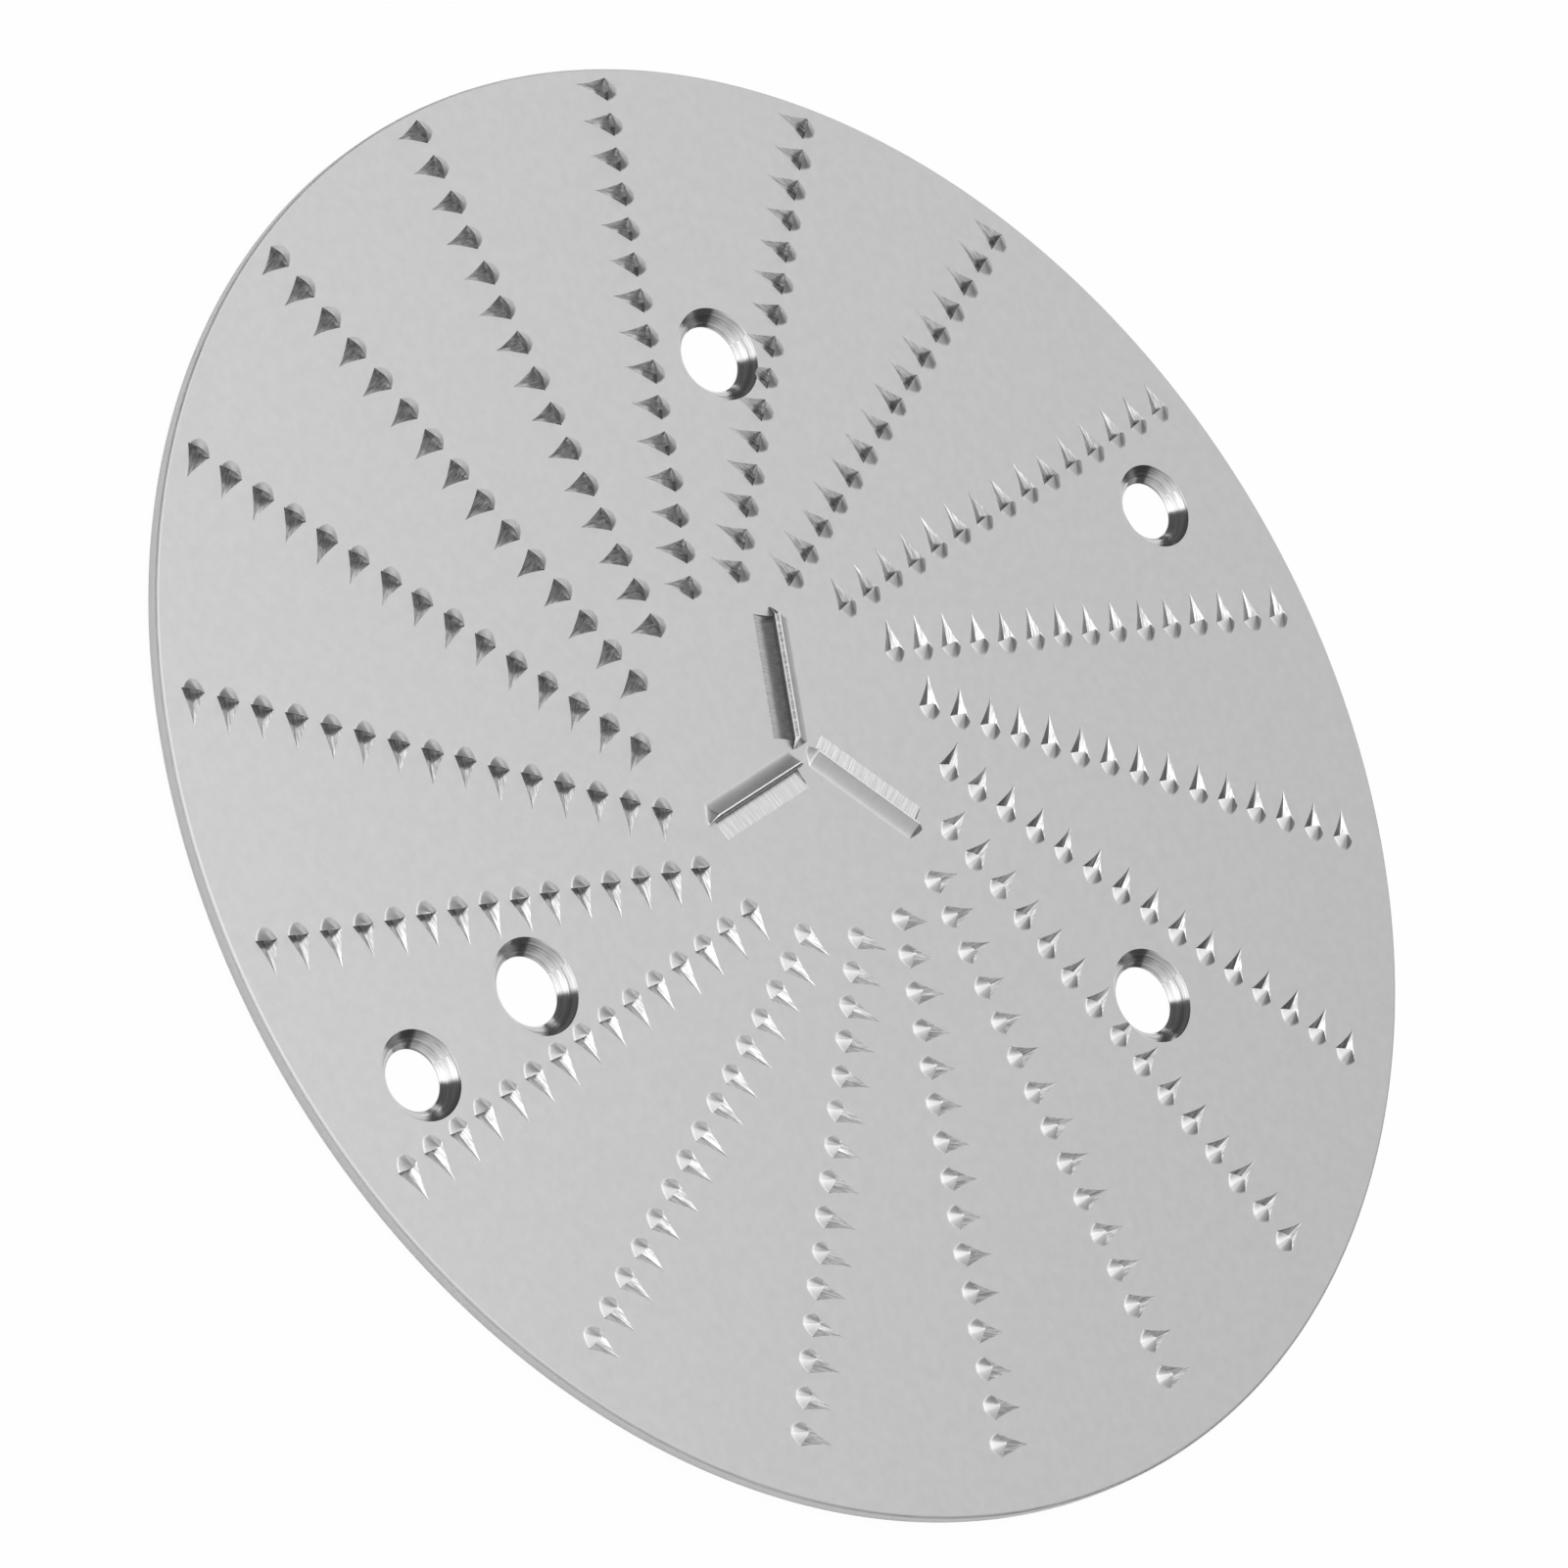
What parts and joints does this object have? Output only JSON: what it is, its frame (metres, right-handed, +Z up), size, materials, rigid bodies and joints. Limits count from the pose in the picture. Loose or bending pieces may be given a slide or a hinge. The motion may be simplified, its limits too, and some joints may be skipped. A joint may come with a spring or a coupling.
{
  "type": "juicer shredder blade",
  "caption": "Flat round stainless grating disc for a juicer, with swirling rows of gouged teeth, short chopping blades at the hub and countersunk screw holes.",
  "frame": {"origin": "centre of the rim, on the flat underside", "axes": "+Z up out of the toothed face; +X along the line of the two outer screw holes, from the side that also has an inner hole towards the side that has none"},
  "size_m": [0.177, 0.177, 0.003],
  "materials": {
    "stainless": "satin"
  },
  "bodies": {
    "root": {"shredder_disc": "stainless"}
  },
  "joints": []
}
